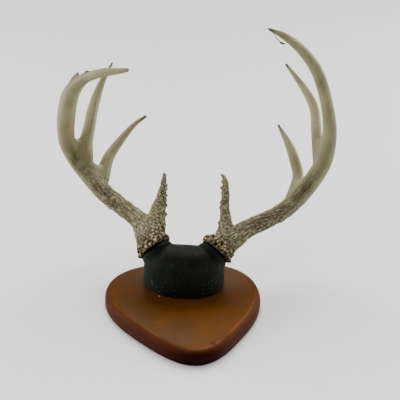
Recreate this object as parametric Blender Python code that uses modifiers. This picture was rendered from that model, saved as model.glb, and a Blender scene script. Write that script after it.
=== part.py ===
"""Antler mounting plaque: a pair of antlers on a moulded skull cap cover, fixed to a rounded wooden board.

It lies on the back of its board. +Z is the way the board faces, -Y is down when it hangs on a wall and +X is
the right of someone who faces it. The origin is the middle of the board's back. Lengths are in metres.
"""

import math

import bmesh
import bpy
from mathutils import Matrix, Vector

# Board
board_width = 0.203
board_length = 0.211
board_thickness = 0.020
board_face_round = 0.012
board_back_round = 0.002

# Skull cap cover
cover_width = 0.106
cover_depth = 0.086
cover_height = 0.060
cover_offset = (0.003, 0.051)
cover_turn = math.radians(-10)
cover_corner = 2.2
cover_crown = 5.0
cover_back_slope = 0.42
cover_slope_start = -0.35

# Antler seats on the cover: how far apart, how high above the board, and how the burrs lean
burr_spacing = 0.082
burr_height = 0.050
burr_lean = math.radians(37)
burr_pitch = math.radians(43)
burr_diameter = 0.049
burr_thickness = 0.007
burr_overhang = 0.006

# Antlers. The rise is the beam's highest point above its burr, along the rack's own upright
rack_tilt = math.radians(60)
right_rise = 0.200
left_rise = 0.180

# Gap kept between pieces that touch
seat_gap = 0.0003

# Free form of the antlers: (out, forward, up, radius), the first three in hundredths of the antler's rise
# and the radius in hundredths of the burr's diameter
RIGHT_BEAM = (
    (18.5, -3, 18, 25), (32.5, -5.5, 28, 23.5), (44.5, -6, 37, 23.5), (55.5, -3, 48.5, 24.5),
    (64.5, 4, 59.5, 24.5), (70, 13, 69, 23), (71, 29, 79.5, 19.5), (66, 49, 89, 17),
    (58, 68, 96.5, 16), (47.5, 82, 100.5, 13.5), (35, 96, 99.5, 9.5), (23.5, 106, 96.5, 3),
)
RIGHT_TINES = (
    ((3, 0, 2, 26), (5, 1, 10, 27), (5, 3, 19.5, 17.5), (4, 5, 29, 12.5), (4, 7.5, 39.5, 10.5), (3.5, 9.5, 47.5, 7.5),
     (0.5, 11, 52, 3.5)),
    ((48, -5.5, 41.5, 19), (52, -6, 52.5, 21), (53.5, -5.5, 64.5, 15.5), (51.5, -4, 75, 15), (47, -2, 87.5, 11.5),
     (39, 1, 102.5, 3.5)),
    ((67, 8.5, 63, 19), (66, 10, 74.5, 18.5), (64.5, 11.5, 90, 15.5), (63, 13.5, 108.5, 14), (56, 16, 123.5, 11),
     (42.5, 20, 142, 3.5)),
)
LEFT_BEAM = (
    (11, -2, 21, 26), (24, -5, 33.5, 23.5), (39.5, -7, 47, 24.5), (55, -5, 63, 24),
    (65.5, 2, 73.5, 23.5), (71.5, 12, 82.5, 23.5), (70.5, 33, 91.5, 25), (66, 50, 97, 22.5),
    (55.5, 67, 96.3, 14), (41, 81, 91.5, 11.5), (30, 88.5, 87.5, 8.5), (22, 93, 85.5, 5),
)
LEFT_TINES = (
    ((1, 0, 4, 26), (0, 1, 15, 28), (-1, 3, 27.5, 21), (-3, 5.5, 38, 14.5), (-4, 8, 47.5, 9), (-4, 11, 56.5, 4.5)),
    ((44, -7, 52, 19), (43, -7, 63.5, 20), (40.5, -6, 79, 16.5), (33, -4, 93.5, 12), (23.5, -2.5, 108.5, 7.5),
     (14, 0, 116.5, 3.5)),
    ((60, 0, 68, 19), (58, 5, 80, 20), (56, 9, 95.5, 17), (54.5, 12, 112, 15.5), (50.5, 15, 132.5, 10.5),
     (43, 19, 152.5, 3.5)),
    ((68.5, 45, 99, 14), (66.8, 47.5, 107.5, 11), (65, 49, 112.5, 7), (64.6, 49, 115.5, 3)),
)
# Webs that fill the crotches between the tines, in the same units
LEFT_WEBS = (
    ((60, 1, 66, 16), (53.5, -3, 64.5, 18), (49, -4.8, 65.5, 17.5), (44.5, -6.5, 66, 18)),
    ((66, 4.5, 80, 17), (62.5, 4.5, 82.3, 17), (58.5, 4.5, 83.5, 17)),
)
RIGHT_WEBS = (
    ((67, 8.5, 63, 18), (69, 12.5, 71, 20), (69, 16.5, 77, 18)),
)
LEFT_KNOBS = 7
RIGHT_KNOBS = 5

# Shares of the burr's diameter: the antler's stem inside it, the disc that its beads sit on, and the knobs
LEFT_STEM = 0.43
RIGHT_STEM = 0.38
DISC_FOOT = 0.48
DISC_TOP = 0.36
KNOB_SIZE = 0.055
KNOB_VARIES = 0.012

# Shares of the burr's thickness
DISC_DEPTH = 2.2
BEAD_SIZE = 0.42
BEAD_VARIES = 0.07
BEAD_LIFT = 0.1
BEAD_SHIFT = 0.12

# Paces of the uneven rows of beads and knobs, in radians from one to the next
SIZE_PACE = 5.3
SHIFT_PACE = 3.1
SWING_PACE = 2.7
KNOB_SWING = math.radians(35)

# Necks of the cover under the burrs. They widen from the seat through a collar, then narrow inside the cover
collar_depth = 0.005
NECK_FLARE = 1.2
NECK_SHARE = 0.36

# Fineness of the shapes
OUTLINE_STEPS = 12
PATH_STEPS = 5
RING_BEADS = 23
KNOB_START = 0.3
KNOB_SPAN = 0.5
TUBE_SIDES = 3
VOXEL = 0.0016
SMOOTHING = 5
ANTLER_KEEP = 0.062
COVER_KEEP = 0.085
DOME_RINGS = 24
DOME_SIDES = 64
DOME_SINK = 0.008
BIG = 0.5


def clear_scene():
    for obj in list(bpy.data.objects):
        bpy.data.objects.remove(obj, do_unlink=True)


def new_collection(name):
    collection = bpy.data.collections.new(name)
    bpy.context.scene.collection.children.link(collection)
    return collection


def new_material(name, colour, roughness):
    material = bpy.data.materials.new(name)
    material.use_nodes = True
    shader = material.node_tree.nodes["Principled BSDF"]
    shader.inputs["Base Color"].default_value = (*colour, 1)
    shader.inputs["Roughness"].default_value = roughness
    shader.inputs["Metallic"].default_value = 0
    return material


def mesh_object(name, bm, collection, material=None):
    mesh = bpy.data.meshes.new(name)
    bm.to_mesh(mesh)
    bm.free()
    obj = bpy.data.objects.new(name, mesh)
    collection.objects.link(obj)
    if material:
        mesh.materials.append(material)
        mesh.shade_smooth()
    return obj


# Frames: the cover's, turned on the board, and the rack's, tilted up from the wall

def cover_frame():
    middle = Vector((*cover_offset, board_thickness))
    return Matrix.Translation(middle) @ Matrix.Rotation(cover_turn, 4, "Z")


def seat_normal(side):
    level = math.cos(burr_lean)
    return Vector((side * math.sin(burr_lean), level * math.cos(burr_pitch), level * math.sin(burr_pitch)))


def burr_centre(side):
    return Vector((side * burr_spacing / 2, 0, burr_height))


def rack_point(side, out, forward, up):
    """A place on the rack, measured from the middle of the burr, in the cover's frame."""
    upright = Vector((0, math.sin(rack_tilt), math.cos(rack_tilt)))
    ahead = Vector((0, -math.cos(rack_tilt), math.sin(rack_tilt)))
    return burr_centre(side) + Vector((side * out, 0, 0)) + ahead * forward + upright * up


# Board

def half_outline():
    """The board's right half, from its point to the top, as four smooth Bezier spans."""
    half = board_width / 2
    slant = math.radians(52)
    knots = [
        (Vector((0, -board_length / 2)), Vector((1, 0)), 0, 0.23),
        (Vector((0.594 * half, -0.285 * board_length)), Vector((math.cos(slant), math.sin(slant))), 0.29, 0.27),
        (Vector((half, 0.15 * board_length)), Vector((0, 1)), 0.37, 0.56),
        (Vector((0, board_length / 2)), Vector((-1, 0)), 0.51, 0),
    ]
    points = []
    for (start, away, _, lead), (end, towards, trail, _) in zip(knots, knots[1:]):
        handles = start + away * lead * half, end - towards * trail * half
        for step in range(OUTLINE_STEPS):
            t = step / OUTLINE_STEPS
            points.append(
                start * (1 - t) ** 3 + handles[0] * 3 * t * (1 - t) ** 2
                + handles[1] * 3 * t ** 2 * (1 - t) + end * t ** 3
            )
    return points + [knots[-1][0]]


def make_board(collection):
    right = half_outline()
    outline = right + [Vector((-p.x, p.y)) for p in reversed(right[1:-1])]
    bm = bmesh.new()
    base = bm.faces.new([bm.verts.new((p.x, p.y, 0)) for p in outline])
    top = bmesh.ops.extrude_face_region(bm, geom=[base])["geom"]
    bmesh.ops.translate(bm, verts=[v for v in top if isinstance(v, bmesh.types.BMVert)], vec=(0, 0, board_thickness))
    bmesh.ops.recalc_face_normals(bm, faces=bm.faces)
    for height, width, segments in ((board_thickness, board_face_round, 6), (0, board_back_round, 2)):
        rim = [e for e in bm.edges if all(abs(v.co.z - height) < 1e-6 for v in e.verts)]
        bmesh.ops.bevel(bm, geom=rim, offset=width, segments=segments, profile=0.5, affect="EDGES")
    return mesh_object("plaque", bm, collection, new_material("stained_wood", (0.22, 0.075, 0.03), 0.35))


# Shapes that are fused by a voxel remesh, softened, and thinned out

def fuse(obj, keep):
    remesh = obj.modifiers.new("fuse", "REMESH")
    remesh.mode = "VOXEL"
    remesh.voxel_size = VOXEL
    soften = obj.modifiers.new("soften", "SMOOTH")
    soften.factor = 0.5
    soften.iterations = SMOOTHING
    thin = obj.modifiers.new("thin", "DECIMATE")
    thin.ratio = keep


def cut(obj, cutter):
    boolean = obj.modifiers.new("cut_" + cutter.name, "BOOLEAN")
    boolean.operation = "DIFFERENCE"
    boolean.solver = "EXACT"
    boolean.object = cutter


def half_space(name, place, normal, collection):
    """A cutter that takes away all that lies beyond the plane, on the side that the normal points to."""
    bm = bmesh.new()
    bmesh.ops.create_cube(bm, size=BIG)
    turn = normal.to_track_quat("Z", "Y").to_matrix().to_4x4()
    bmesh.ops.transform(bm, matrix=Matrix.Translation(place + normal * BIG / 2) @ turn, verts=bm.verts)
    obj = mesh_object(name, bm, collection)
    obj.hide_render = True
    obj.display_type = "WIRE"
    return obj


def seat_place(side):
    return burr_centre(side) - seat_normal(side) * burr_thickness / 2


# Cover

def add_dome(bm):
    """The cover's body: an upright oval wall that rounds over into a crown, lower towards the top of the board."""
    rows = []
    for ring in range(DOME_RINGS):
        angle = math.pi / 2 * ring / DOME_RINGS
        spread, rise = math.cos(angle) ** (2 / cover_crown), math.sin(angle) ** (2 / cover_crown)
        turns = [2 * math.pi * side / DOME_SIDES for side in range(DOME_SIDES)]
        rows.append([dome_vertex(bm, turn, spread, rise) for turn in turns])
    foot = [bm.verts.new((v.co.x, v.co.y, -DOME_SINK)) for v in rows[0]]
    rows.insert(0, foot)
    for low, high in zip(rows, rows[1:]):
        for side in range(DOME_SIDES):
            after = (side + 1) % DOME_SIDES
            bm.faces.new((low[side], low[after], high[after], high[side]))
    bm.faces.new(list(reversed(foot)))
    bm.faces.new(rows[-1])


def dome_vertex(bm, turn, spread, rise):
    round_cos, round_sin = math.cos(turn), math.sin(turn)
    x = math.copysign(abs(round_cos) ** (2 / cover_corner), round_cos) * spread
    y = math.copysign(abs(round_sin) ** (2 / cover_corner), round_sin) * spread
    back = min(max((y - cover_slope_start) / (1 - cover_slope_start), 0), 1)
    slope = 1 - cover_back_slope * back * back * (3 - 2 * back)
    return bm.verts.new((x * cover_width / 2, y * cover_depth / 2, rise * cover_height * slope))


def add_neck(bm, side):
    """The round neck under an antler, from inside the cover to just past its seat."""
    seat_radius = burr_diameter / 2 - burr_overhang
    wide = seat_radius * NECK_FLARE
    above = burr_thickness / 2
    tip = seat_radius - (wide - seat_radius) * above / collar_depth
    normal = seat_normal(side)
    turn = normal.to_track_quat("Z", "Y").to_matrix().to_4x4()
    foot = -burr_height * NECK_SHARE
    for start, end, high, low in ((above, -collar_depth, tip, wide), (-collar_depth, foot, wide, seat_radius)):
        middle = seat_place(side) + normal * (start + end) / 2
        bmesh.ops.create_cone(
            bm, cap_ends=True, segments=48, radius1=low, radius2=high, depth=start - end,
            matrix=Matrix.Translation(middle) @ turn,
        )


def make_cover(collection, cutters):
    bm = bmesh.new()
    add_dome(bm)
    for side in (-1, 1):
        add_neck(bm, side)
    obj = mesh_object("skull_cap_cover", bm, collection, new_material("black_cover", (0.012, 0.013, 0.012), 0.8))
    fuse(obj, COVER_KEEP)
    foot = half_space("cover_foot_cutter", Vector((0, 0, seat_gap)), Vector((0, 0, -1)), cutters)
    cut(obj, foot)
    for side, name in ((-1, "left_seat_cutter"), (1, "right_seat_cutter")):
        cut(obj, half_space(name, seat_place(side), seat_normal(side), cutters))
    return obj


# Antlers

def smooth_path(stations):
    """Points of a Catmull-Rom curve through the stations, ends included."""
    ends = [2 * stations[0] - stations[1]] + list(stations) + [2 * stations[-1] - stations[-2]]
    points = []
    for a, b, c, d in zip(ends, ends[1:], ends[2:], ends[3:]):
        for step in range(PATH_STEPS):
            t = step / PATH_STEPS
            points.append(
                0.5 * (2 * b + (c - a) * t + (2 * a - 5 * b + 4 * c - d) * t ** 2
                       + (3 * b - a - 3 * c + d) * t ** 3)
            )
    return points + [stations[-1]]


def branch_stations(side, rise, numbers):
    """Each station as a four-part vector: its place in the cover's frame, and the radius."""
    stations = []
    for out, forward, up, radius in numbers:
        place = rack_point(side, out * rise / 100, forward * rise / 100, up * rise / 100)
        stations.append(Vector((*place, radius * burr_diameter / 100)))
    return stations


def add_branch(curve, stations):
    points = smooth_path(stations)
    spline = curve.splines.new("POLY")
    spline.points.add(len(points) - 1)
    for target, point in zip(spline.points, points):
        target.co = (*point[:3], 1)
        target.radius = max(point[3], 0.001) / curve.bevel_depth


def branches_mesh(name, branches, collection):
    """The branches as round tubes that taper from station to station, capped."""
    curve = bpy.data.curves.new(name, "CURVE")
    curve.dimensions = "3D"
    curve.bevel_depth = 0.001
    curve.bevel_resolution = TUBE_SIDES
    curve.use_fill_caps = True
    for stations in branches:
        add_branch(curve, stations)
    guide = bpy.data.objects.new(name, curve)
    collection.objects.link(guide)
    mesh = bpy.data.meshes.new_from_object(guide.evaluated_get(bpy.context.evaluated_depsgraph_get()))
    bpy.data.objects.remove(guide, do_unlink=True)
    return mesh


def add_burr(bm, side):
    """The burr: a thick disc with a ring of uneven beads round its edge."""
    normal = seat_normal(side)
    turn = normal.to_track_quat("Z", "Y").to_matrix().to_4x4()
    frame = Matrix.Translation(burr_centre(side)) @ turn
    bmesh.ops.create_cone(
        bm, cap_ends=True, segments=32, radius1=burr_diameter * DISC_FOOT, radius2=burr_diameter * DISC_TOP,
        depth=burr_thickness * DISC_DEPTH, matrix=frame,
    )
    for bead in range(RING_BEADS):
        angle = 2 * math.pi * bead / RING_BEADS
        size = burr_thickness * (BEAD_SIZE + BEAD_VARIES * math.sin(SIZE_PACE * bead + side))
        reach = burr_diameter / 2 - size
        height = burr_thickness * (BEAD_LIFT + BEAD_SHIFT * math.sin(SHIFT_PACE * bead))
        place = frame @ Vector((reach * math.cos(angle), reach * math.sin(angle), height))
        bmesh.ops.create_icosphere(bm, subdivisions=2, radius=size, matrix=Matrix.Translation(place))


def add_knobs(bm, side, stations, count):
    """Small knobs up the brow tine, on the side that faces the other antler."""
    points = smooth_path(stations)
    for knob in range(count):
        share = KNOB_START + KNOB_SPAN * knob / (count - 1)
        point = points[round(share * (len(points) - 1))]
        swing = KNOB_SWING * math.sin(SWING_PACE * knob)
        upright = Vector((0, math.sin(rack_tilt), math.cos(rack_tilt)))
        away = Vector((-side * math.cos(swing), 0, 0)) + upright * math.sin(swing)
        size = burr_diameter * (KNOB_SIZE + KNOB_VARIES * math.sin(SIZE_PACE * knob))
        place = Vector(point[:3]) + away * point[3]
        bmesh.ops.create_icosphere(bm, subdivisions=2, radius=size, matrix=Matrix.Translation(place))


def make_antler(name, side, rise, beam, tines, stem, knobs, collection, cutters, material):
    """One antler. The first of its tines is the brow tine, which carries the knobs."""
    root = burr_centre(side) - seat_normal(side) * burr_thickness
    base = Vector((*root, burr_diameter * stem))
    middle = Vector((*burr_centre(side), burr_diameter * stem))
    branches = [[base, middle] + branch_stations(side, rise, beam)]
    branches += [branch_stations(side, rise, tine) for tine in tines]
    bm = bmesh.new()
    tubes = branches_mesh(name + "_guide", branches, cutters)
    bm.from_mesh(tubes)
    bpy.data.meshes.remove(tubes)
    bmesh.ops.remove_doubles(bm, verts=bm.verts, dist=0.00001)
    add_burr(bm, side)
    add_knobs(bm, side, branches[1], knobs)
    obj = mesh_object(name, bm, collection, material)
    fuse(obj, ANTLER_KEEP)
    normal = seat_normal(side)
    cut(obj, half_space(name + "_seat_cutter", seat_place(side) + normal * seat_gap, -normal, cutters))
    return obj


def main():
    clear_scene()
    parts = new_collection("antler_mounting_plaque")
    cutters = new_collection("cutters")
    make_board(parts)
    antler = new_material("antler", (0.42, 0.38, 0.27), 0.55)
    placed = [
        make_cover(parts, cutters),
        make_antler(
            "antler_left", -1, left_rise, LEFT_BEAM, LEFT_TINES + LEFT_WEBS, LEFT_STEM, LEFT_KNOBS,
            parts, cutters, antler,
        ),
        make_antler(
            "antler_right", 1, right_rise, RIGHT_BEAM, RIGHT_TINES + RIGHT_WEBS, RIGHT_STEM, RIGHT_KNOBS,
            parts, cutters, antler,
        ),
    ]
    frame = cover_frame()
    for obj in placed + list(cutters.objects):
        obj.matrix_world = frame


main()
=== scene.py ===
"""Looks of the antler mounting plaque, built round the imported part.

The board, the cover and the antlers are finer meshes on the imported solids' forms. Lengths are in metres, in
the part's frame: +Z is the way the board faces and -Y is towards its point.
"""

import math
from types import SimpleNamespace

import bmesh
import bpy
import numpy as np
from mathutils import Matrix, Vector, kdtree, noise


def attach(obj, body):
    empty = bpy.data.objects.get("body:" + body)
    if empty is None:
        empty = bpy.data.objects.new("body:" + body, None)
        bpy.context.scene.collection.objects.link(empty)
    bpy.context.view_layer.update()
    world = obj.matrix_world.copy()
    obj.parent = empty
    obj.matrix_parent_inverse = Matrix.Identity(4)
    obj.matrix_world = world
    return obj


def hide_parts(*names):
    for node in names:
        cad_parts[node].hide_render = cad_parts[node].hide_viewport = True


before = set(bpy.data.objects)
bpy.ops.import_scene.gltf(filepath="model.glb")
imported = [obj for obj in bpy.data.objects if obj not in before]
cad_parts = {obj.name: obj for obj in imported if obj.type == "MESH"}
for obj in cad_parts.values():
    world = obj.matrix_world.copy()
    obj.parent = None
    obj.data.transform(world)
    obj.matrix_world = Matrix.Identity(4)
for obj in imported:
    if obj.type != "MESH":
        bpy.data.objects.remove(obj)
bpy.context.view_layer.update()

# Board
board_width = 0.203
board_length = 0.211
board_thickness = 0.020
board_face_round = 0.012
board_back_round = 0.002
knot_place = (0.021, -0.088, board_thickness)

# Cover, and the seats of the antlers on it
cover_width = 0.106
cover_depth = 0.086
cover_height = 0.060
cover_offset = (0.003, 0.051)
cover_turn = math.radians(-10)
cover_corner = 2.2
cover_crown = 5.0
cover_back_slope = 0.42
cover_slope_start = -0.35
burr_spacing = 0.082
burr_height = 0.050
burr_lean = math.radians(37)
burr_pitch = math.radians(43)
burr_diameter = 0.049
burr_thickness = 0.007
burr_overhang = 0.006
collar_depth = 0.005
neck_flare = 1.2
neck_share = 0.36
seat_gap = 0.0003

# Antlers. Stations are (out, forward, up, radius) in hundredths of the rise and of the burr's diameter
rack_tilt = math.radians(60)
right_rise = 0.200
left_rise = 0.180
RIGHT_BEAM = (
    (18.5, -3, 18, 25), (32.5, -5.5, 28, 23.5), (44.5, -6, 37, 23.5), (55.5, -3, 48.5, 24.5),
    (64.5, 4, 59.5, 24.5), (70, 13, 69, 23), (71, 29, 79.5, 19.5), (66, 49, 89, 17),
    (58, 68, 96.5, 16), (47.5, 82, 100.5, 13.5), (35, 96, 99.5, 9.5), (23.5, 106, 96.5, 3),
)
RIGHT_TINES = (
    ((3, 0, 2, 26), (5, 1, 10, 27), (5, 3, 19.5, 17.5), (4, 5, 29, 12.5), (4, 7.5, 39.5, 10.5),
     (3.5, 9.5, 47.5, 7.5), (0.5, 11, 52, 3.5)),
    ((48, -5.5, 41.5, 19), (52, -6, 52.5, 21), (53.5, -5.5, 64.5, 15.5), (51.5, -4, 75, 15),
     (47, -2, 87.5, 11.5), (39, 1, 102.5, 3.5)),
    ((67, 8.5, 63, 19), (66, 10, 74.5, 18.5), (64.5, 11.5, 90, 15.5), (63, 13.5, 108.5, 14),
     (56, 16, 123.5, 11), (42.5, 20, 142, 3.5)),
)
LEFT_BEAM = (
    (11, -2, 21, 26), (24, -5, 33.5, 23.5), (39.5, -7, 47, 24.5), (55, -5, 63, 24),
    (65.5, 2, 73.5, 23.5), (71.5, 12, 82.5, 23.5), (70.5, 33, 91.5, 25), (66, 50, 97, 22.5),
    (55.5, 67, 96.3, 14), (41, 81, 91.5, 11.5), (30, 88.5, 87.5, 8.5), (22, 93, 85.5, 5),
)
LEFT_TINES = (
    ((1, 0, 4, 26), (0, 1, 15, 28), (-1, 3, 27.5, 21), (-3, 5.5, 38, 14.5), (-4, 8, 47.5, 9),
     (-4, 11, 56.5, 4.5)),
    ((44, -7, 52, 19), (43, -7, 63.5, 20), (40.5, -6, 79, 16.5), (33, -4, 93.5, 12),
     (23.5, -2.5, 108.5, 7.5), (14, 0, 116.5, 3.5)),
    ((60, 0, 68, 19), (58, 5, 80, 20), (56, 9, 95.5, 17), (54.5, 12, 112, 15.5),
     (50.5, 15, 132.5, 10.5), (43, 19, 152.5, 3.5)),
    ((68.5, 45, 99, 14), (66.8, 47.5, 107.5, 11), (65, 49, 112.5, 7), (64.6, 49, 115.5, 3)),
)

# Webs that fill the crotches between branches, in the same measures
LEFT_WEBS = (
    ((58.5, -3, 65.5, 14), (54, -2.5, 67, 18), (49, -4.8, 65.5, 17.5), (44.5, -6.5, 66, 18)),
    ((55, -2, 67, 16), (56, 3, 76, 17.5), (56.8, 5.5, 84, 17)),
    ((66, 4.5, 80, 17), (62.5, 4.5, 82.3, 17), (58.5, 4.5, 83.5, 17)),
)
RIGHT_WEBS = (
    ((67, 8.5, 63, 18), (69, 12.5, 71, 20), (69, 16.5, 77, 18), (68.5, 19, 81, 11)),
)

# Dried bits of skin and thread on the left antler's bend and the right one's tip, as (out, forward, up) and
# a radius in tenths of a mm
LEFT_BITS = (
    ((65, 49, 117, 5), (64, 49, 116, 9), (63.1, 49, 114.8, 9), (62.8, 49, 113.4, 8),
     (63.6, 49, 112.2, 4)),
    ((60, 60, 105.5, 2), (57.6, 64, 103.6, 3), (55.9, 67, 101.6, 9), (54.5, 70, 100, 19),
     (53, 72, 98.8, 21), (51.5, 74, 97.6, 7)),
)
RIGHT_BITS = (
    ((26.8, 102, 96.8, 3), (28.3, 100.5, 95.6, 5), (29.8, 99, 94.6, 8), (30.8, 98, 94.2, 6),
     (32.3, 96.8, 93.8, 14), (33.8, 95.8, 94.1, 11), (35.3, 94.8, 95.6, 4)),
)

# Brown streaks on the smooth part, as (out, forward, up) and a radius in tenths of a mm
LEFT_MARKS = (
    ((54.3, 11.5, 89, 18), (53.6, 13, 97, 26), (52.9, 15, 108, 18), (52.3, 16, 116, 12)),
    ((58.6, 10.2, 85.8, 22), (58.1, 10.8, 88.4, 22)),
)
RIGHT_MARKS = (
    ((67, 15, 78, 25), (66.5, 16.5, 88, 38), (65.5, 18, 99, 32), (63.5, 19, 108, 20)),
)

# The two antlers. Stem is the radius inside the burr, as a share of the burr's diameter. The dark_tips are
# the lengths of the dark ends of the beam and of each tine. The bark runs furthest along on its bark_side
LEFT = SimpleNamespace(
    name="left_antler", node="antler_left", side=-1, rise=left_rise, stem=0.43, knobs=9, seed=11,
    beam=LEFT_BEAM, tines=LEFT_TINES, webs=LEFT_WEBS, bits=LEFT_BITS, marks=LEFT_MARKS,
    dark_tips=(0.0, 0.0, 0.014, 0.009, 0.005), bark_side=Vector((-0.05, -0.9, 0.4)),
)
RIGHT = SimpleNamespace(
    name="right_antler", node="antler_right", side=1, rise=right_rise, stem=0.38, knobs=7, seed=23,
    beam=RIGHT_BEAM, tines=RIGHT_TINES, webs=RIGHT_WEBS, bits=RIGHT_BITS, marks=RIGHT_MARKS,
    dark_tips=(0.014, 0.0, 0.006, 0.01), bark_side=Vector((-0.2, -0.6, 0.75)),
)

# Places of the beam and of the first two tines in an antler's list of branches
BEAM, BROW, SECOND = 0, 1, 2

# The antlers' surface: where along the beam the bark and its band on one side begin to fade and where they
# end, and the sizes of the beads, grooves and stains
bark_fades = 0.105
bark_end = 0.185
band_starts = 0.03
band_is_full = 0.07
band_fades = 0.17
band_end = 0.228
burr_fades = 0.012
burr_end = 0.026
brow_beads_fade = 0.03
brow_beads_end = 0.085
large_bead = 0.0021
large_bead_spacing = 0.0040
small_bead = 0.0012
small_bead_spacing = 0.0021
groove_width = 0.0021
flute_width = 0.009
lump_width = 0.010
streak_width = 0.0034
patch_width = 0.016

# How far the beads, lumps, grooves and flutes stand out of the antlers' surface or sink into it
small_bead_height = 0.0007
large_bead_extra = 0.0008
pit_depth = 0.0004
lump_height = 0.0006
groove_depth = 0.0008
flute_depth = 0.0004

# Fineness
PATH_STEPS = 12
ANTLER_VOXEL = 0.0012
COVER_VOXEL = 0.0012
ROUGH_SPLIT = 0.35
ANTLER_SMOOTHING = 7
COVER_SMOOTHING = 22
CREASE_ROUNDS = 200
BLEND_ROUNDS = 8


# Small helpers

def srgb(red, green, blue):
    """An 8-bit colour as the linear values that shaders take."""
    def linear(value):
        share = value / 255
        return share / 12.92 if share <= 0.04045 else ((share + 0.055) / 1.055) ** 2.4
    return (linear(red), linear(green), linear(blue), 1)


def new_object(name, mesh):
    obj = bpy.data.objects.new(name, mesh)
    bpy.context.scene.collection.objects.link(obj)
    return obj


def object_from_bmesh(name, bm):
    mesh = bpy.data.meshes.new(name)
    bm.to_mesh(mesh)
    bm.free()
    return new_object(name, mesh)


def evaluated_mesh(obj):
    """The object's mesh with its modifiers applied. The object itself is removed."""
    graph = bpy.context.evaluated_depsgraph_get()
    graph.update()
    mesh = bpy.data.meshes.new_from_object(obj.evaluated_get(graph))
    bpy.data.objects.remove(obj, do_unlink=True)
    return mesh


def remeshed(obj, voxel):
    remesh = obj.modifiers.new("fuse", "REMESH")
    remesh.mode = "VOXEL"
    remesh.voxel_size = voxel
    return evaluated_mesh(obj)


def mesh_points(mesh):
    points = np.empty(len(mesh.vertices) * 3, np.float32)
    mesh.vertices.foreach_get("co", points)
    return points.reshape(-1, 3).astype(float)


def set_points(mesh, points):
    mesh.vertices.foreach_set("co", points.astype(np.float32).ravel())
    mesh.update()


def mesh_normals(mesh):
    normals = np.empty(len(mesh.vertices) * 3, np.float32)
    mesh.vertex_normals.foreach_get("vector", normals)
    return normals.reshape(-1, 3).astype(float)


def mesh_edges(mesh):
    edges = np.empty(len(mesh.edges) * 2, np.int64)
    mesh.edges.foreach_get("vertices", edges)
    return edges.reshape(-1, 2)


def neighbour_counts(edges, size):
    return np.maximum(np.bincount(edges.ravel(), minlength=size), 1)


def neighbour_means(values, edges, counts):
    """For each vertex, the mean of its neighbours' values."""
    total = (
        np.bincount(edges[:, 0], values[edges[:, 1]], len(values))
        + np.bincount(edges[:, 1], values[edges[:, 0]], len(values))
    )
    return total / counts


def smoothed(points, edges, rounds):
    """Taubin smoothing: it rounds off voxel steps, and shrinks and swells in turn to keep the volume."""
    shrink, swell = 0.5, -0.52
    counts = neighbour_counts(edges, len(points))
    for turn in range(rounds * 2):
        means = np.stack([neighbour_means(points[:, axis], edges, counts) for axis in range(3)], 1)
        step = shrink if turn % 2 == 0 else swell
        points = points + step * (means - points)
    return points


def fill_creases(mesh, share, rounds):
    """Rounds out the hollow creases between branches, as much as the share of each vertex says."""
    points, edges = mesh_points(mesh), mesh_edges(mesh)
    counts = neighbour_counts(edges, len(points))
    for turn in range(rounds):
        if turn % 5 == 0:
            set_points(mesh, points)
            normals = mesh_normals(mesh)
        rise = np.zeros(len(points))
        for axis in range(3):
            means = neighbour_means(points[:, axis], edges, counts)
            rise += (means - points[:, axis]) * normals[:, axis]
        points = points + normals * (np.clip(rise, 0, None) * share)[:, None]
    set_points(mesh, points)


def add_attribute(mesh, name, values):
    attribute = mesh.attributes.new(name, "FLOAT", "POINT")
    attribute.data.foreach_set("value", values.astype(np.float32))


def ease(values, low, high):
    """0 up to low, 1 from high, and smooth between. Low may lie above high."""
    t = np.clip((values - low) / (high - low), 0, 1)
    return t * t * (3 - 2 * t)


def noise_at(points, size, seed):
    """Perlin noise of about the given feature size, from -1 to 1."""
    shift = Vector((seed, seed * 0.7, -seed))
    return np.array([noise.noise(Vector(p) / size + shift) for p in points])


# Frames: the cover's, turned on the board, and the rack's, tilted up from the wall

def cover_frame():
    middle = Vector((*cover_offset, board_thickness))
    return Matrix.Translation(middle) @ Matrix.Rotation(cover_turn, 4, "Z")


def seat_normal(side):
    """The way that an antler's seat on the cover faces."""
    level = math.cos(burr_lean)
    return Vector((side * math.sin(burr_lean), level * math.cos(burr_pitch), level * math.sin(burr_pitch)))


def burr_centre(side):
    return Vector((side * burr_spacing / 2, 0, burr_height))


def seat_place(side):
    return burr_centre(side) - seat_normal(side) * burr_thickness / 2


def above_burr(points, side):
    """How far each point lies above the middle of the burr, along the burr's axis."""
    return (points - np.array(burr_centre(side))) @ np.array(seat_normal(side))


def rack_point(side, out, forward, up):
    """A place in the rack's tilted frame, measured from the middle of the burr."""
    upright = Vector((0, math.sin(rack_tilt), math.cos(rack_tilt)))
    ahead = Vector((0, -math.cos(rack_tilt), math.sin(rack_tilt)))
    return burr_centre(side) + Vector((side * out, 0, 0)) + ahead * forward + upright * up


def rack_places(side, rise, stations):
    """The stations' places. Their first three numbers are hundredths of the antler's rise."""
    return [
        rack_point(side, out * rise / 100, forward * rise / 100, up * rise / 100)
        for out, forward, up, _ in stations
    ]


# Materials

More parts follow.
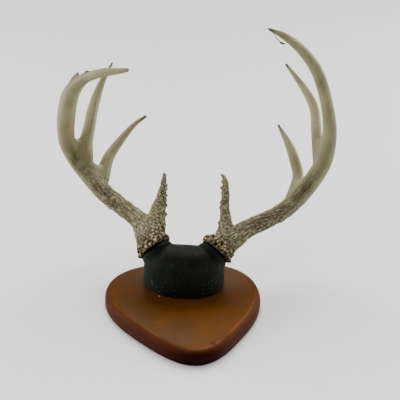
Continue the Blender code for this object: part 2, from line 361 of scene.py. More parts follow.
class Shader:
    """A material's node tree, with short ways to add what the looks below need."""

    def __init__(self, name):
        self.material = bpy.data.materials.new(name)
        self.material.use_nodes = True
        self.nodes = self.material.node_tree.nodes
        self.links = self.material.node_tree.links
        self.main = self.nodes["Principled BSDF"]
        self.place = self.nodes.new("ShaderNodeTexCoord").outputs["Object"]

    def put(self, socket, value):
        if isinstance(value, bpy.types.NodeSocket):
            self.links.new(value, socket)
        else:
            socket.default_value = value

    def attribute(self, name):
        node = self.nodes.new("ShaderNodeAttribute")
        node.attribute_name = name
        return node.outputs["Fac"]

    def stretched(self, scale, turn=(0, 0, 0)):
        node = self.nodes.new("ShaderNodeMapping")
        node.inputs["Scale"].default_value = scale
        node.inputs["Rotation"].default_value = turn
        self.links.new(self.place, node.inputs["Vector"])
        return node.outputs["Vector"]

    def noise(self, scale, detail=3.0, roughness=0.55, vector=None, distortion=0.0):
        node = self.nodes.new("ShaderNodeTexNoise")
        node.inputs["Scale"].default_value = scale
        node.inputs["Detail"].default_value = detail
        node.inputs["Roughness"].default_value = roughness
        node.inputs["Distortion"].default_value = distortion
        self.links.new(vector or self.place, node.inputs["Vector"])
        return node.outputs["Fac"]

    def spots(self, scale, vector=None):
        """Distance from scattered points, and a random value for each point."""
        node = self.nodes.new("ShaderNodeTexVoronoi")
        node.inputs["Scale"].default_value = scale
        self.links.new(vector or self.place, node.inputs["Vector"])
        return node.outputs["Distance"], node.outputs["Color"]

    def near(self, middle, inner, outer, scale):
        """1 within the inner distance of a place, fading out at the outer, with an uneven edge."""
        node = self.nodes.new("ShaderNodeVectorMath")
        node.operation = "DISTANCE"
        self.links.new(self.place, node.inputs[0])
        node.inputs[1].default_value = middle
        wander = self.math("MULTIPLY", self.noise(scale), outer)
        return self.ramp(self.math("ADD", node.outputs["Value"], wander), outer + inner, inner)

    def ramp(self, value, low, high, start=0.0, end=1.0):
        node = self.nodes.new("ShaderNodeMapRange")
        node.interpolation_type = "SMOOTHSTEP"
        self.put(node.inputs["Value"], value)
        self.put(node.inputs["From Min"], low)
        self.put(node.inputs["From Max"], high)
        node.inputs["To Min"].default_value = start
        node.inputs["To Max"].default_value = end
        return node.outputs["Result"]

    def math(self, operation, a, b):
        node = self.nodes.new("ShaderNodeMath")
        node.operation = operation
        self.put(node.inputs[0], a)
        self.put(node.inputs[1], b)
        return node.outputs[0]

    def mix(self, share, a, b):
        node = self.nodes.new("ShaderNodeMix")
        node.data_type = "RGBA"
        self.put(node.inputs["Factor"], share)
        self.put(node.inputs[6], a)
        self.put(node.inputs[7], b)
        return node.outputs[2]

    def bump(self, height, depth):
        node = self.nodes.new("ShaderNodeBump")
        node.inputs["Distance"].default_value = depth
        node.inputs["Strength"].default_value = 1.0
        self.links.new(height, node.inputs["Height"])
        return node.outputs["Normal"]

    def finish(self, colour, roughness, specular, relief):
        """Sets what every piece's material sets. The specular level is one number for its whole surface."""
        self.put(self.main.inputs["Base Color"], colour)
        self.put(self.main.inputs["Roughness"], roughness)
        self.main.inputs["Specular IOR Level"].default_value = specular
        self.put(self.main.inputs["Normal"], relief)
        return self.material


def wood_material():
    """Stained and lacquered wood: soft lengthwise figure, dark end grain deepened with painted shade, upright
    sides in painted shade, a painted highlight along the front of the top edge, one knot and a few scuffs.
    """
    shader = Shader("stained_wood_looks")
    grain_lines = shader.noise(55, 4, 0.55, shader.stretched((4.0, 0.4, 1.0)), 0.3)
    figure = shader.noise(18, 3, 0.5, shader.stretched((1.5, 0.5, 1.0)), 0.8)
    mottle = shader.noise(20, 4, 0.6)
    colour = shader.mix(shader.ramp(mottle, 0.35, 0.7), srgb(71, 41, 5), srgb(84, 50, 6))
    colour = shader.mix(shader.ramp(figure, 0.45, 0.7, 0, 0.3), colour, srgb(84, 38, 8))
    colour = shader.mix(shader.ramp(grain_lines, 0.5, 0.75, 0, 0.22), colour, srgb(78, 36, 8))
    # Painted shade: the upright sides and the roundover are coloured darker red-brown than the top.
    colour = shader.mix(shader.attribute("side"), colour, srgb(71, 33, 20))
    # Painted highlight: a patchy pale pinkish band on the front of the top edge, standing in for the
    # lacquer's shine.
    patchy = shader.ramp(mottle, 0.35, 0.6, 0.1, 0.6)
    edge_highlight_share = shader.math("MULTIPLY", shader.attribute("painted_edge_highlight"), patchy)
    colour = shader.mix(edge_highlight_share, colour, srgb(124, 74, 44))
    # The faces at the point and the back: the end grain's darker stain, deepened with painted shade.
    colour = shader.mix(shader.attribute("end_grain_and_shade"), colour, srgb(29, 8, 2))
    knot = shader.near(knot_place, 0.003, 0.007, 150)
    colour = shader.mix(shader.math("MULTIPLY", knot, 0.6), colour, srgb(34, 16, 8))
    distance, chance = shader.spots(95, shader.stretched((1.0, 0.55, 1.0), (0, 0, 0.6)))
    scuff = shader.math("MULTIPLY", shader.ramp(distance, 0.2, 0.08), shader.ramp(chance, 0.88, 0.92))
    colour = shader.mix(shader.math("MULTIPLY", scuff, 0.5), colour, srgb(176, 140, 104))
    roughness = shader.ramp(mottle, 0.3, 0.7, 0.42, 0.55)
    return shader.finish(colour, roughness, 0.03, shader.bump(shader.noise(300, 2, 0.5), 0.00005))


def cover_material():
    """Matt black moulding with pale dust, lint and faint rubs on it, painted light on its walls and on the
    faces that look down, and painted shade in the creases under the burrs.
    """
    shader = Shader("black_cover_looks")
    mottle = shader.noise(45, 4, 0.6)
    colour = shader.mix(shader.ramp(mottle, 0.35, 0.7), srgb(12, 15, 12), srgb(21, 24, 19))
    # Painted light: the walls take a paler grey than the top.
    wall_light_colour = shader.mix(shader.ramp(mottle, 0.35, 0.7), srgb(24, 28, 24), srgb(35, 38, 32))
    colour = shader.mix(shader.attribute("painted_wall_light"), colour, wall_light_colour)
    # Painted light: the faces that look down, round the necks, are a much paler grey.
    colour = shader.mix(shader.attribute("under"), colour, srgb(54, 59, 54))
    rubs = shader.noise(120, 3, 0.6, shader.stretched((1.0, 1.0, 0.35)))
    colour = shader.mix(shader.ramp(rubs, 0.58, 0.8, 0, 0.25), colour, srgb(84, 84, 66))
    height = shader.nodes.new("ShaderNodeSeparateXYZ")
    shader.links.new(shader.place, height.inputs[0])
    dusty_end, dusty_start = board_thickness + 0.036, board_thickness + 0.012
    low_down = shader.ramp(height.outputs["Z"], dusty_end, dusty_start, 0.08, 0.9)
    for scale, size, rarity in ((260, 0.17, 0.86), (560, 0.27, 0.72)):
        distance, chance = shader.spots(scale)
        inside = shader.ramp(distance, size, size * 0.5)
        speck = shader.math("MULTIPLY", inside, shader.ramp(chance, rarity, rarity + 0.05))
        colour = shader.mix(shader.math("MULTIPLY", speck, low_down), colour, srgb(186, 188, 172))
    colour = shader.mix(shader.attribute("seat_shade"), colour, srgb(3, 3, 3))
    roughness = shader.ramp(mottle, 0.3, 0.7, 0.6, 0.78)
    return shader.finish(colour, roughness, 0.06, shader.bump(shader.noise(420, 3, 0.6), 0.0002))


def antler_material():
    """Bone-coloured smooth points, and dark-stained beads and grooves where the relief says so."""
    shader = Shader("antler_looks")
    rough, relief = shader.attribute("rough"), shader.attribute("relief")
    stain, tip, burr = shader.attribute("stain"), shader.attribute("tip"), shader.attribute("burr")
    broad = shader.noise(26, 3, 0.5)
    fine = shader.noise(260, 4, 0.65)
    warm = shader.noise(14, 2, 0.5)
    smooth = shader.mix(shader.ramp(broad, 0.35, 0.68), srgb(124, 118, 82), srgb(147, 141, 103))
    smooth = shader.mix(shader.ramp(warm, 0.5, 0.7, 0, 0.5), smooth, srgb(140, 118, 80))
    smooth = shader.mix(shader.ramp(fine, 0.52, 0.78, 0, 0.3), smooth, srgb(118, 108, 72))
    crest = shader.mix(shader.ramp(relief, 0.8, 1.0), srgb(94, 79, 50), srgb(172, 156, 113))
    top = shader.mix(burr, srgb(148, 143, 108), crest)
    top = shader.mix(shader.ramp(fine, 0.45, 0.7, 0, 0.5), top, srgb(112, 98, 64))
    pit = shader.mix(burr, srgb(92, 84, 58), srgb(20, 12, 6))
    low, high = shader.ramp(burr, 0, 1, 0.35, 0.12), shader.ramp(burr, 0, 1, 0.85, 0.5)
    beaded = shader.mix(shader.ramp(relief, low, high), pit, top)
    pale_flecks = shader.ramp(shader.noise(430, 2, 0.5), 0.54, 0.68, 0, 0.45)
    beaded = shader.mix(pale_flecks, beaded, srgb(176, 168, 126))
    dark_flecks = shader.ramp(shader.noise(390, 2, 0.5), 0.46, 0.34, 0, 0.55)
    beaded = shader.mix(dark_flecks, beaded, srgb(48, 38, 22))
    colour = shader.mix(rough, smooth, beaded)
    stained = shader.math("MULTIPLY", stain, shader.ramp(fine, 0.3, 0.6, 0.65, 1))
    colour = shader.mix(stained, colour, srgb(70, 54, 30))
    colour = shader.mix(tip, colour, srgb(72, 74, 62))
    roughness = shader.ramp(rough, 0, 1, 0.48, 0.75)
    return shader.finish(colour, roughness, 0.24, shader.bump(shader.noise(650, 3, 0.6), 0.00015))


# Board

def half_outline(steps):
    """The board's right half, from its point to the top, as three smooth Bezier spans."""
    half = board_width / 2
    slant = math.radians(52)
    slanting = Vector((math.cos(slant), math.sin(slant)))
    knots = [
        (Vector((0, -board_length / 2)), Vector((1, 0)), 0, 0.23),
        (Vector((0.594 * half, -0.285 * board_length)), slanting, 0.29, 0.27),
        (Vector((half, 0.15 * board_length)), Vector((0, 1)), 0.37, 0.56),
        (Vector((0, board_length / 2)), Vector((-1, 0)), 0.51, 0),
    ]
    points = []
    for (start, away, _, lead), (end, towards, trail, _) in zip(knots, knots[1:]):
        handles = start + away * lead * half, end - towards * trail * half
        for step in range(steps):
            t = step / steps
            points.append(
                start * (1 - t) ** 3 + handles[0] * 3 * t * (1 - t) ** 2
                + handles[1] * 3 * t ** 2 * (1 - t) + end * t ** 3
            )
    return points + [knots[-1][0]]


def make_board(material):
    right = half_outline(40)
    outline = right + [Vector((-p.x, p.y)) for p in reversed(right[1:-1])]
    bm = bmesh.new()
    base = bm.faces.new([bm.verts.new((p.x, p.y, 0)) for p in outline])
    top = bmesh.ops.extrude_face_region(bm, geom=[base])["geom"]
    lift = (0, 0, board_thickness)
    bmesh.ops.translate(bm, verts=[v for v in top if isinstance(v, bmesh.types.BMVert)], vec=lift)
    bmesh.ops.recalc_face_normals(bm, faces=bm.faces)
    for height, width, segments in ((board_thickness, board_face_round, 12), (0, board_back_round, 3)):
        rim = [e for e in bm.edges if all(abs(v.co.z - height) < 1e-6 for v in e.verts)]
        bmesh.ops.bevel(bm, geom=rim, offset=width, segments=segments, profile=0.5, affect="EDGES")
    board = object_from_bmesh("board", bm)
    board.data.shade_smooth()
    normals = mesh_normals(board.data)
    upright = 1 - ease(np.abs(normals[:, 2]), 0.7, 0.97)
    # Painted shade: the upright sides and the roundover are marked for the darker colour.
    add_attribute(board.data, "side", 0.9 * upright)
    # Painted highlight: the band of the roundover next to the flat top, on the faces towards the point.
    rim = ease(normals[:, 2], 0.84, 0.93) * ease(normals[:, 2], 0.995, 0.96)
    add_attribute(board.data, "painted_edge_highlight", rim * ease(normals[:, 1], -0.05, -0.2))
    # End grain at the point and the back, darkest: its stain, partly painted shade.
    add_attribute(board.data, "end_grain_and_shade", 0.9 * upright * ease(np.abs(normals[:, 1]), 0.55, 0.9))
    board.data.materials.append(material)
    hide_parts("plaque")
    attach(board, "root")


# Cover

def add_dome(bm):
    rings, sides, sink = 40, 120, 0.008
    rows = []
    for ring in range(rings):
        angle = math.pi / 2 * ring / rings
        spread, rise = math.cos(angle) ** (2 / cover_crown), math.sin(angle) ** (2 / cover_crown)
        rows.append([dome_vertex(bm, 2 * math.pi * side / sides, spread, rise) for side in range(sides)])
    foot = [bm.verts.new((v.co.x, v.co.y, -sink)) for v in rows[0]]
    rows.insert(0, foot)
    for low, high in zip(rows, rows[1:]):
        for side in range(sides):
            after = (side + 1) % sides
            bm.faces.new((low[side], low[after], high[after], high[side]))
    bm.faces.new(list(reversed(foot)))
    bm.faces.new(rows[-1])


def dome_vertex(bm, turn, spread, rise):
    round_cos, round_sin = math.cos(turn), math.sin(turn)
    x = math.copysign(abs(round_cos) ** (2 / cover_corner), round_cos) * spread
    y = math.copysign(abs(round_sin) ** (2 / cover_corner), round_sin) * spread
    back = min(max((y - cover_slope_start) / (1 - cover_slope_start), 0), 1)
    slope = 1 - cover_back_slope * back * back * (3 - 2 * back)
    return bm.verts.new((x * cover_width / 2, y * cover_depth / 2, rise * cover_height * slope))


def add_neck(bm, side):
    seat_radius = burr_diameter / 2 - burr_overhang
    wide = seat_radius * neck_flare
    above = burr_thickness / 2
    tip = seat_radius - (wide - seat_radius) * above / collar_depth
    foot = -burr_height * neck_share
    normal = seat_normal(side)
    turn = normal.to_track_quat("Z", "Y").to_matrix().to_4x4()
    collar, root = (above, -collar_depth, tip, wide), (-collar_depth, foot, wide, seat_radius)
    for start, end, high, low in (collar, root):
        middle = seat_place(side) + normal * (start + end) / 2
        bmesh.ops.create_cone(
            bm, cap_ends=True, segments=64, radius1=low, radius2=high, depth=start - end,
            matrix=Matrix.Translation(middle) @ turn,
        )


def cut_off(mesh, place, normal):
    """Cuts away what lies beyond the plane and closes the cut."""
    bm = bmesh.new()
    bm.from_mesh(mesh)
    geometry = list(bm.verts) + list(bm.edges) + list(bm.faces)
    cut = bmesh.ops.bisect_plane(
        bm, geom=geometry, dist=1e-6, plane_co=place, plane_no=normal, clear_outer=True
    )["geom_cut"]
    bmesh.ops.holes_fill(bm, edges=[e for e in cut if isinstance(e, bmesh.types.BMEdge)], sides=0)
    bm.to_mesh(mesh)
    bm.free()


def seat_shade(points):
    """1 in the tucked-in crease under each burr, where no light gets in, fading out below it."""
    shade = np.zeros(len(points))
    for side in (-1, 1):
        offset = points - np.array(seat_place(side))
        below = -(offset @ np.array(seat_normal(side)))
        near = np.linalg.norm(offset, axis=1) < burr_diameter * 0.6
        shade = np.maximum(shade, ease(below, collar_depth * 0.85, collar_depth * 0.5) * near)
    return shade


def make_cover(material):
    bm = bmesh.new()
    add_dome(bm)
    for side in (-1, 1):
        add_neck(bm, side)
    mesh = remeshed(object_from_bmesh("cover_guide", bm), COVER_VOXEL)
    points = smoothed(mesh_points(mesh), mesh_edges(mesh), COVER_SMOOTHING)
    set_points(mesh, points)
    waves = 0.00045 * noise_at(points, 0.022, 3.1)
    set_points(mesh, points + mesh_normals(mesh) * waves[:, None])
    for side in (-1, 1):
        cut_off(mesh, seat_place(side), seat_normal(side))
    cut_off(mesh, Vector((0, 0, seat_gap)), Vector((0, 0, -1)))
    add_attribute(mesh, "seat_shade", seat_shade(mesh_points(mesh)))
    facing_up = mesh_normals(mesh)[:, 2]
    # Painted light: the faces that look sideways are marked for a paler colour.
    add_attribute(mesh, "painted_wall_light", ease(facing_up, 0.8, 0.1))
    # Painted light: the faces that look down are marked for a pale colour.
    add_attribute(mesh, "under", ease(facing_up, 0.1, -0.35))
    mesh.transform(cover_frame())
    mesh.shade_smooth()
    mesh.materials.append(material)
    cover = new_object("cover", mesh)
    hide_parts("skull_cap_cover")
    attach(cover, "root")


# Antlers

def smooth_path(stations, steps):
    """Points of a Catmull-Rom curve through the stations, ends included."""
    ends = [2 * stations[0] - stations[1]] + list(stations) + [2 * stations[-1] - stations[-2]]
    points = []
    for a, b, c, d in zip(ends, ends[1:], ends[2:], ends[3:]):
        for step in range(steps):
            t = step / steps
            points.append(
                0.5 * (2 * b + (c - a) * t + (2 * a - 5 * b + 4 * c - d) * t ** 2
                       + (3 * b - a - 3 * c + d) * t ** 3)
            )
    return points + [stations[-1]]


def branch_stations(side, rise, numbers):
    """Stations as places with the radius for a fourth number."""
    places = rack_places(side, rise, numbers)
    return [Vector((*place, row[-1] * burr_diameter / 100)) for place, row in zip(places, numbers)]


class Branch:
    """A branch's centre line: places, radii, lengths along it, and a frame that doesn't twist."""

    def __init__(self, stations):
        path = np.array([list(p) for p in smooth_path(stations, PATH_STEPS)])
        self.places, self.radii = path[:, :3], path[:, 3]
        steps = np.diff(self.places, axis=0)
        lengths = np.linalg.norm(steps, axis=1)
        self.along = np.concatenate(([0], np.cumsum(lengths)))
        ways = np.vstack((steps, steps[-1:]))
        self.ways = ways / np.linalg.norm(ways, axis=1)[:, None]
        sideways = (0.3, 0.5, 0.8)
        across = np.cross(self.ways[0], sideways)
        self.across = [across / np.linalg.norm(across)]
        for way in self.ways[1:]:
            turned = self.across[-1] - way * np.dot(self.across[-1], way)
            self.across.append(turned / np.linalg.norm(turned))
        self.across = np.array(self.across)
        self.tree = kdtree.KDTree(len(self.places))
        for index, place in enumerate(self.places):
            self.tree.insert(place, index)
        self.tree.balance()


def add_tube(curve, branch):
    spline = curve.splines.new("POLY")
    spline.points.add(len(branch.places) - 1)
    for target, place, radius in zip(spline.points, branch.places, branch.radii):
        target.co = (*place, 1)
        target.radius = max(radius, 0.001) / curve.bevel_depth


def tubes_mesh(branches):
    curve = bpy.data.curves.new("antler_guide", "CURVE")
    curve.dimensions = "3D"
    curve.bevel_depth = 0.001
    curve.bevel_resolution = 8
    curve.use_fill_caps = True
    for branch in branches:
        add_tube(curve, branch)
    return evaluated_mesh(new_object("antler_guide", curve))


def add_burr(bm, side, random):
    """The burr: a flared disc, a ring of beads round its edge and smaller beads above them."""
    turn = seat_normal(side).to_track_quat("Z", "Y").to_matrix().to_4x4()
    burr = Matrix.Translation(burr_centre(side)) @ turn
    bmesh.ops.create_cone(
        bm, cap_ends=True, segments=48, radius1=burr_diameter * 0.46, radius2=burr_diameter * 0.35,
        depth=burr_thickness * 2.2, matrix=burr,
    )
    rings = (27, 0.505, 0.0, 0.36), (24, 0.47, 0.6, 0.32), (20, 0.44, 1.2, 0.3)
    for count, reach, height, size in rings:
        for bead in range(count):
            angle = 2 * math.pi * (bead + random.uniform(-0.3, 0.3)) / count
            radius = burr_thickness * size * random.uniform(0.7, 1.3)
            away = burr_diameter * reach * random.uniform(0.95, 1.03) - radius
            level = burr_thickness * (height + random.uniform(-0.2, 0.2))
            place = burr @ Vector((away * math.cos(angle), away * math.sin(angle), level))
            bmesh.ops.create_icosphere(bm, subdivisions=2, radius=radius, matrix=Matrix.Translation(place))


def add_knobs(bm, side, brow, count, random):
    """Knobs up the brow tine, on the side that faces the other antler."""
    upright = Vector((0, math.sin(rack_tilt), math.cos(rack_tilt)))
    for knob in range(count):
        index = round((0.3 + 0.5 * knob / (count - 1)) * (len(brow.places) - 1))
        swing = math.radians(40) * random.uniform(-1, 1)
        away = Vector((-side * math.cos(swing), 0, 0)) + upright * math.sin(swing)
        size = burr_diameter * random.uniform(0.035, 0.06)
        place = Vector(brow.places[index]) + away * (brow.radii[index] + size * 0.1)
        bmesh.ops.create_icosphere(bm, subdivisions=2, radius=size, matrix=Matrix.Translation(place))


def locate(points, branches):
    """For each point: the branch that it lies on, how far along, and its two offsets across."""
    best = np.full(len(points), 1e9)
    found = np.zeros((len(points), 4))
    for number, branch in enumerate(branches):
        hits = [branch.tree.find(p)[1:] for p in points]
        index = np.array([h[0] for h in hits])
        depth = np.array([h[1] for h in hits]) - branch.radii[index]
        offset = points - branch.places[index]
        ways, across = branch.ways[index], branch.across[index]
        along = branch.along[index] + (offset * ways).sum(1)
        first = (offset * across).sum(1)
        second = (offset * np.cross(ways, across)).sum(1)
        nearer = depth < best
        best[nearer] = depth[nearer]
        rows = np.stack([np.full(len(points), number), along, first, second], 1)
        found[nearer] = rows[nearer]
    return found


def spread_out(values, edges, rounds):
    """The values averaged with their neighbours', so that no border shows between branches."""
    counts = neighbour_counts(edges, len(values))
    for _ in range(rounds):
        values = 0.5 * values + 0.5 * neighbour_means(values, edges, counts)
    return values


def front_share(points, located, branches, front):
    """1 on the side of the beam and the webs that faces the given way, fading out round it."""
    beam = branches[BEAM]
    centres = np.array([beam.places[beam.tree.find(p)[1]] for p in points])
    away = points - centres
    away /= np.maximum(np.linalg.norm(away, axis=1), 1e-6)[:, None]
    facing = away @ np.array(front.normalized())
    on_beam = (located[:, 0] == BEAM) | (located[:, 0] >= len(branches))
    return ease(facing, 0.55, 0.95) * on_beam


def rough_share(located):
    """How rough the surface is: 1 at the burr and the brow tine, fading out along the beam."""
    branch, along = located[:, 0], located[:, 1]
    beam = ease(along, bark_end, bark_fades)
    brow = 1 - 0.45 * ease(along, 0.07, 0.1)
    other = 0.75 * ease(along, 0.022, 0.004) * (branch == SECOND)
    return np.where(branch == BEAM, beam, np.where(branch == BROW, brow, other))


def local_coordinates(located, stretch):
    """A space that shortens lengths along a branch, so that patterns in it run lengthwise."""
    branches_apart = 0.7
    branch, along, first, second = located.T
    return np.stack([along / stretch + branch * branches_apart, first, second], 1)


def bead_heights(places, spacing, size, random):
    """Rounded beads scattered over the places: 0 between them, and about 1 on the top of each."""
    order = random.permutation(len(places))
    cells = {}
    seeds = []
    for index in order:
        p = places[index]
        cell = tuple(np.floor(p / spacing).astype(int))
        near = [
            q for i in (-1, 0, 1) for j in (-1, 0, 1) for k in (-1, 0, 1)
            for q in cells.get((cell[0] + i, cell[1] + j, cell[2] + k), ())
        ]
        if all((p[0] - q[0]) ** 2 + (p[1] - q[1]) ** 2 + (p[2] - q[2]) ** 2 > spacing ** 2 for q in near):
            cells.setdefault(cell, []).append(p)
            seeds.append(p)
    sizes = size * random.uniform(0.65, 1.3, len(seeds))
    tree = kdtree.KDTree(len(seeds))
    for number, seed in enumerate(seeds):
        tree.insert(seed, number)
    tree.balance()
    heights = np.zeros(len(places))
    for number, p in enumerate(places):
        for _, seed, distance in tree.find_n(p, 3):
            share = distance / sizes[seed]
            if share < 1:
                heights[number] = max(heights[number], math.sqrt(1 - share * share) * sizes[seed] / size)
    return heights


def split_rough(mesh, branches):
    """Splits the faces of the rough part in four, for finer beads."""
    share = rough_share(locate(mesh_points(mesh), branches))
    bm = bmesh.new()
    bm.from_mesh(mesh)
    bm.verts.ensure_lookup_table()
    edges = [e for e in bm.edges if all(share[v.index] > ROUGH_SPLIT for v in e.verts)]
    bmesh.ops.subdivide_edges(bm, edges=edges, cuts=1, use_grid_fill=True)
    bm.to_mesh(mesh)
    bm.free()


def add_bit(bm, places, radii):
    """A dried shred: a thin closed tube with pointed ends."""
    rings = []
    for number, (place, radius) in enumerate(zip(places, radii)):
        way = places[min(number + 1, len(places) - 1)] - places[max(number - 1, 0)]
        first = way.orthogonal().normalized()
        second = way.cross(first).normalized()
        turns = [2 * math.pi * side / 6 for side in range(6)]
        spokes = [first * math.cos(turn) + second * math.sin(turn) for turn in turns]
        rings.append([bm.verts.new(place + spoke * radius) for spoke in spokes])
    for low, high in zip(rings, rings[1:]):
        for side in range(6):
            after = (side + 1) % 6
            bm.faces.new((low[side], low[after], high[after], high[side]))
    bm.faces.new(list(reversed(rings[0])))
    bm.faces.new(rings[-1])


def add_bits(mesh, antler):
    bm = bmesh.new()
    bm.from_mesh(mesh)
    for bit in antler.bits:
        places = rack_places(antler.side, antler.rise, bit)
        add_bit(bm, places, [radius * 0.0001 for *_, radius in bit])
    bm.to_mesh(mesh)
    bm.free()


def marks_share(points, antler):
    """1 along the middle of each brown streak, fading out at its uneven edges."""
    share = np.zeros(len(points))
    wander = 1 + 0.6 * noise_at(points, 0.003, 4.4)
    for mark in antler.marks:
        places = [np.array(place) for place in rack_places(antler.side, antler.rise, mark)]
        for start, end, (*_, radius) in zip(places, places[1:], mark):
            way = end - start
            t = np.clip((points - start) @ way / (way @ way), 0, 1)[:, None]
            away = np.linalg.norm(points - start - t * way, axis=1) * wander
            share = np.maximum(share, ease(away, radius * 0.00012, radius * 0.00002))
    return share


def antler_branches(antler):
    """The beam and the tines, and the webs that fill the crotches between them."""
    side, rise = antler.side, antler.rise
    root = burr_centre(side) - seat_normal(side) * burr_thickness
    stem = [Vector((*place, burr_diameter * antler.stem)) for place in (root, burr_centre(side))]
    branches = [Branch(stem + branch_stations(side, rise, antler.beam))]
    branches += [Branch(branch_stations(side, rise, tine)) for tine in antler.tines]
    return branches, [Branch(branch_stations(side, rise, web)) for web in antler.webs]


def fused_form(antler, branches, fillers, random):
    """Tubes, burr and knobs fused into one smoothed mesh, with rounded crotches and a finer rough part."""
    bm = bmesh.new()
    bm.from_mesh(tubes_mesh(branches + fillers))
    bmesh.ops.remove_doubles(bm, verts=bm.verts, dist=0.00001)
    add_burr(bm, antler.side, random)
    add_knobs(bm, antler.side, branches[BROW], antler.knobs, random)
    mesh = remeshed(object_from_bmesh(antler.name + "_guide", bm), ANTLER_VOXEL)
    set_points(mesh, smoothed(mesh_points(mesh), mesh_edges(mesh), ANTLER_SMOOTHING))
    points = mesh_points(mesh)
    located = locate(points, branches)
    knobs_start, knobs_full = 0.035, 0.05
    burr_top, burr_clear = 0.012, 0.022
    below_knobs = np.where(located[:, 0] == BROW, ease(located[:, 1], knobs_full, knobs_start), 1)
    open_part = ease(above_burr(points, antler.side), burr_top, burr_clear) * below_knobs
    fill_creases(mesh, open_part, CREASE_ROUNDS)
    split_rough(mesh, branches)
    return mesh


def survey(mesh, antler, branches, fillers):
    """Where each vertex lies, and its share of bark, bark band, burr and large beads."""
    skin = SimpleNamespace(points=mesh_points(mesh), normals=mesh_normals(mesh), side=antler.side)
    edges = mesh_edges(mesh)
    skin.located = locate(skin.points, branches + fillers)
    skin.branch, skin.along = skin.located[:, 0], skin.located[:, 1]
    skin.above = above_burr(skin.points, antler.side)
    rough = spread_out(rough_share(skin.located), edges, BLEND_ROUNDS)
    beam_along = locate(skin.points, branches[:1])[:, 1]
    band = front_share(skin.points, skin.located, branches, antler.bark_side)
    band = band * ease(beam_along, band_end, band_fades) * ease(beam_along, band_starts, band_is_full)
    skin.band = spread_out(band, edges, BLEND_ROUNDS)
    skin.rough = np.maximum(rough, 0.6 * skin.band)
    skin.burr = ease(skin.above, burr_end, burr_fades) * (skin.branch <= BROW)
    skin.brow = (skin.branch == BROW) * 1.0
    on_brow = 0.5 * skin.brow * ease(skin.along, brow_beads_end, brow_beads_fade)
    skin.big = np.clip(skin.burr + on_brow, 0, 1)
    return skin


def lengthwise_noise(skin, stretch, size, seed):
    """Noise drawn out along the branches, different on the two antlers."""
    return noise_at(local_coordinates(skin.located, stretch), size, seed + skin.side)


def raise_surface(mesh, skin, random):
    """Pushes beads, grooves, flutes and lumps out of the mesh, and keeps what the looks need of them."""
    rough, big = skin.rough, skin.big
    stretch = np.where(skin.branch == BEAM, 1 + 1.8 * ease(skin.above, 0.02, 0.06), 1.2)
    space = local_coordinates(skin.located, stretch)
    large_beads = bead_heights(space, large_bead_spacing, large_bead, random)
    small_beads = bead_heights(space, small_bead_spacing, small_bead, random)
    beads = np.maximum(large_beads * big, small_beads * (1 - 0.35 * big))
    skin.grooves = lengthwise_noise(skin, 3.0, groove_width, 5.3)
    skin.lumps = noise_at(skin.points, lump_width, 2.2 + skin.side)
    flutes = lengthwise_noise(skin, 26.0, flute_width, 8.8)
    bead_height = small_bead_height + large_bead_extra * big
    swell = rough * (beads * bead_height - pit_depth - pit_depth * big + lump_height * skin.lumps)
    swell += rough * (1 - big) * groove_depth * skin.grooves + (1 - rough) * flute_depth * flutes
    set_points(mesh, skin.points + skin.normals * swell[:, None])
    bark = 0.45 * beads + 0.5 * (0.5 + 1.5 * skin.grooves)
    skin.relief = beads * (big + (1 - big) * skin.brow) + bark * (1 - big) * (1 - skin.brow)


def stain_share(skin, antler, branches):
    """How brown each vertex is: in the bark and the burr, along the band, and a little on smooth bone."""
    streaks = lengthwise_noise(skin, 5.0, streak_width, 1.7)
    patches = lengthwise_noise(skin, 5.0, patch_width, 6.1)
    in_bark = ease(streaks + 0.7 * patches + 0.3 * skin.band, 0.1, 0.6)
    stain = 0.35 * skin.rough * (1 - skin.big) * in_bark
    stain += skin.band * (0.1 + 0.45 * ease(streaks + 0.8 * skin.grooves, -0.2, 0.4))
    on_branch = skin.branch < len(branches)
    stain += (1 - skin.rough) * 0.22 * ease(streaks + 0.6 * patches, 0.35, 0.75) * on_branch
    stain += skin.big * 0.5 * ease(patches + skin.lumps, 0.2, 0.6)
    return stain + 0.38 * marks_share(skin.points, antler)


def tip_share(skin, antler, branches, fillers):
    """1 at the end of each branch that has a dark tip, fading out over the tip's length."""
    number = skin.branch.astype(int)
    lengths = np.array(list(antler.dark_tips) + [0.0] * len(fillers))[number]
    ends = np.array([b.along[-1] for b in branches + fillers])[number]
    return 0.9 * ease(ends - skin.along, lengths + 0.001, lengths * 0.3) * (lengths > 0)


def make_antler(antler, material):
    random = np.random.RandomState(antler.seed)
    branches, fillers = antler_branches(antler)
    mesh = fused_form(antler, branches, fillers, random)
    skin = survey(mesh, antler, branches, fillers)
    raise_surface(mesh, skin, random)
    stain = stain_share(skin, antler, branches)
    tip = tip_share(skin, antler, branches, fillers)
    count = len(mesh.vertices)
    add_bits(mesh, antler)
    extra = len(mesh.vertices) - count
    looks = (
        ("rough", skin.rough, 1), ("relief", skin.relief, 0), ("stain", stain, 0.5), ("tip", tip, 0),
        ("burr", skin.burr, 0.7),
    )
    for label, values, on_bits in looks:
        add_attribute(mesh, label, np.concatenate((np.clip(values, 0, 1), np.full(extra, on_bits))))
    normal = seat_normal(antler.side)
    cut_off(mesh, seat_place(antler.side) + normal * seat_gap, -normal)
    mesh.transform(cover_frame())
    mesh.shade_smooth()
    mesh.materials.append(material)
    piece = new_object(antler.name, mesh)
    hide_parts(antler.node)
    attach(piece, "root")


# Stage

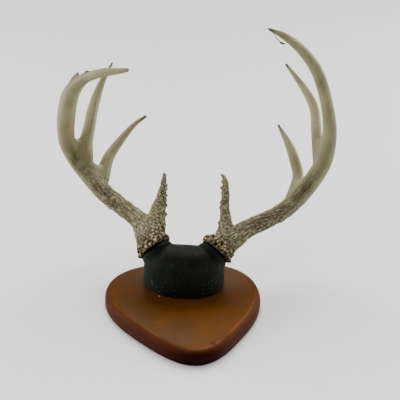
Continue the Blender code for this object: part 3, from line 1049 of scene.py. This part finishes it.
def make_stage():
    shader = Shader("pale_backdrop")
    shader.main.inputs["Base Color"].default_value = srgb(232, 235, 232)
    shader.main.inputs["Roughness"].default_value = 0.9
    floor_size = 4
    bm = bmesh.new()
    bmesh.ops.create_grid(bm, x_segments=1, y_segments=1, size=floor_size)
    floor = object_from_bmesh("floor", bm)
    floor.data.materials.append(shader.material)


def add_light(name, place, target, size, watts):
    light = bpy.data.lights.new(name, "AREA")
    light.shape = "RECTANGLE"
    light.size, light.size_y = size
    light.energy = watts
    obj = new_object(name, light)
    obj.location = place
    obj.rotation_euler = (Vector(target) - Vector(place)).to_track_quat("-Z", "Y").to_euler()


def make_lights():
    world = bpy.data.worlds.new("soft_room")
    bpy.context.scene.world = world
    world.use_nodes = True
    background = world.node_tree.nodes["Background"]
    background.inputs["Color"].default_value = (0.93, 0.96, 1, 1)
    background.inputs["Strength"].default_value = 0.10
    sun = bpy.data.lights.new("back_window", "SUN")
    sun.angle = math.radians(42)
    sun.energy = 4.7
    window = new_object("back_window", sun)
    shining = Vector((-0.1, -1, -1.1))
    window.rotation_euler = shining.to_track_quat("-Z", "Y").to_euler()
    middle, side_size = (0, 0.1, 0.15), (0.9, 0.8)
    add_light("top_softbox", place=(0.0, -0.4, 1.8), target=(0, -0.4, 0.0), size=(1.4, 1.0), watts=13)
    add_light("left_softbox", place=(-1.5, 0.6, 0.55), target=middle, size=side_size, watts=27)
    add_light("right_softbox", place=(1.5, 0.55, 0.55), target=middle, size=side_size, watts=23)


def make_camera():
    right = Vector((0.988, -0.146, 0.046)).normalized()
    back = Vector((-0.150, -0.870, 0.469)).normalized()
    up = back.cross(right).normalized()
    right = up.cross(back)
    target = Vector((0.0257, 0.0889, 0.120))
    distance = 1.308
    data = bpy.data.cameras.new("photo_camera")
    data.lens = 90
    data.sensor_width = 36
    camera = new_object("photo_camera", data)
    turned = Matrix((right, up, back)).transposed().to_4x4()
    camera.matrix_world = Matrix.Translation(target + back * distance) @ turned
    bpy.context.scene.camera = camera


make_stage()
make_lights()
make_camera()
make_board(wood_material())
make_cover(cover_material())
antler_looks = antler_material()
make_antler(LEFT, antler_looks)
make_antler(RIGHT, antler_looks)
